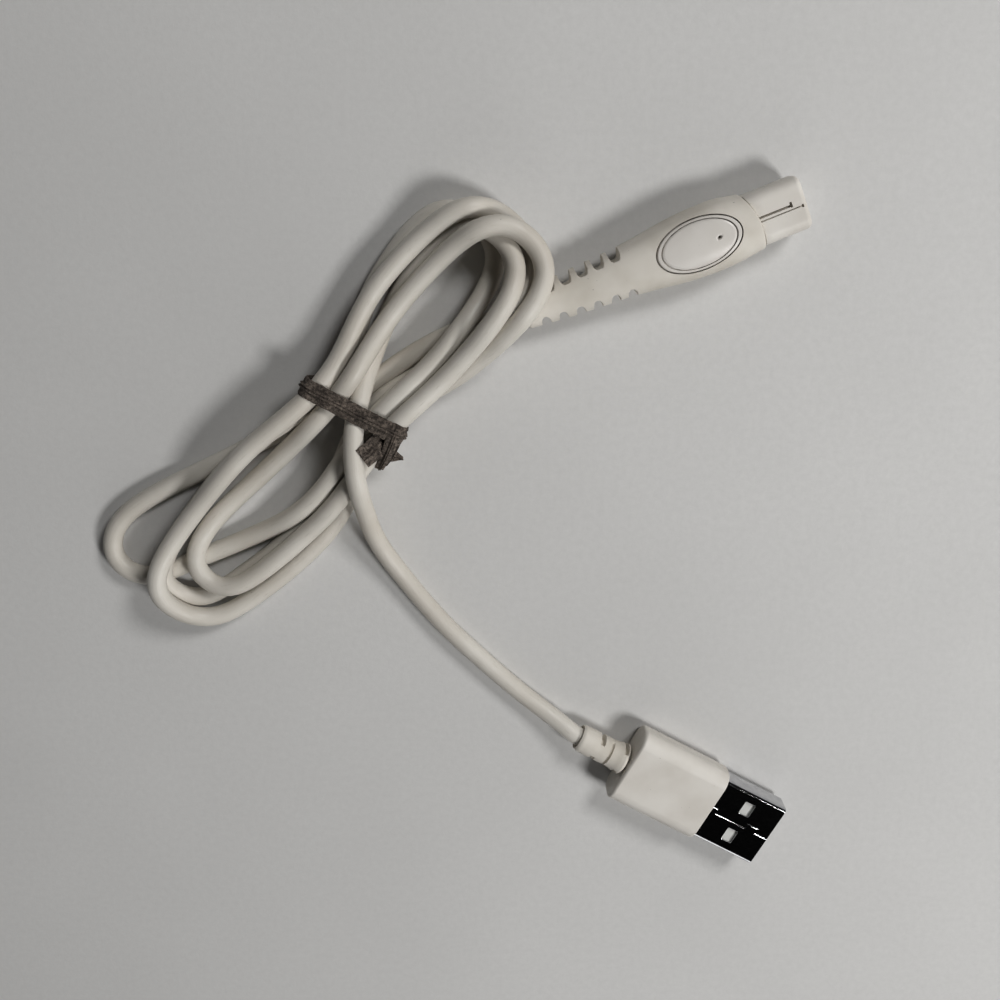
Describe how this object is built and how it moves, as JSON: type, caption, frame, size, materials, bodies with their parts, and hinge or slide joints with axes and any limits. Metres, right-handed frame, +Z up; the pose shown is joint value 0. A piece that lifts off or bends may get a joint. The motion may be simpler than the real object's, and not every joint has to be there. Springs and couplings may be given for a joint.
{
  "type": "charging lead",
  "caption": "White charging lead with a USB-A plug at one end and a slim two-contact appliance plug at the other, its cord folded into a hank held by a twist tie.",
  "frame": {"origin": "on the resting plane, below the middle of the box that holds the two plugs", "axes": "+Z up from the resting plane; +Y from the USB plug towards the appliance plug; +X from the hank towards the plugs"},
  "size_m": [0.1142, 0.115, 0.0113],
  "materials": {
    "white_plastic": "satin moulded white plastic with a fine spark texture",
    "soft_white": "soft white overmould, slightly dull, with faint handling marks",
    "cord_jacket": "warm off-white cord jacket, satin, with fine specks and scuffs",
    "insulator": "plain white plastic insulator",
    "tie_paper": "grey-brown fibrous paper ribbon with a wire core",
    "shell_steel": "bright plated steel, mirror-like, with fine scratches",
    "gold_plate": "gold-coloured contact plating",
    "brass_sleeve": "plain brass contact sleeve",
    "red_wire": "red wire insulation",
    "black_wire": "black wire insulation"
  },
  "bodies": {
    "hank": {"cord_hank": "cord_jacket", "cord_tail": "cord_jacket", "tie_band": "tie_paper", "tie_knot": "tie_paper", "tie_end_flap": "tie_paper", "tie_end_tip": "tie_paper"},
    "usb_plug": {"usb_housing": "white_plastic", "usb_strain_relief": "soft_white", "usb_shell": "shell_steel", "usb_tongue": "insulator", "usb_contact_carrier": "insulator", "usb_wire_positive": "red_wire", "usb_wire_negative": "black_wire", "usb_contact_power": "gold_plate", "usb_contact_data_minus": "gold_plate", "usb_contact_data_plus": "gold_plate", "usb_contact_ground": "gold_plate"},
    "appliance_plug": {"appliance_grip": "soft_white", "appliance_badge": "white_plastic", "appliance_head": "white_plastic", "appliance_strain_relief": "soft_white", "appliance_socket_left": "brass_sleeve", "appliance_socket_right": "brass_sleeve", "appliance_wire_positive": "red_wire", "appliance_wire_negative": "black_wire"}
  },
  "joints": [
    {"name": "usb_boot_bend", "type": "hinge", "parent": "hank", "child": "usb_plug", "pos_m": [-0.00858, -0.03639, 0.0033], "axis": [0, 0, 1], "range_deg": [-20, 20], "stiffness_Nm_per_rad": 0.02, "deforming": ["usb_strain_relief"]},
    {"name": "appliance_boot_bend", "type": "hinge", "parent": "hank", "child": "appliance_plug", "pos_m": [-0.01306, 0.04123, 0.0041], "axis": [0, 0, 1], "range_deg": [-20, 20], "stiffness_Nm_per_rad": 0.02, "deforming": ["appliance_strain_relief"]}
  ]
}
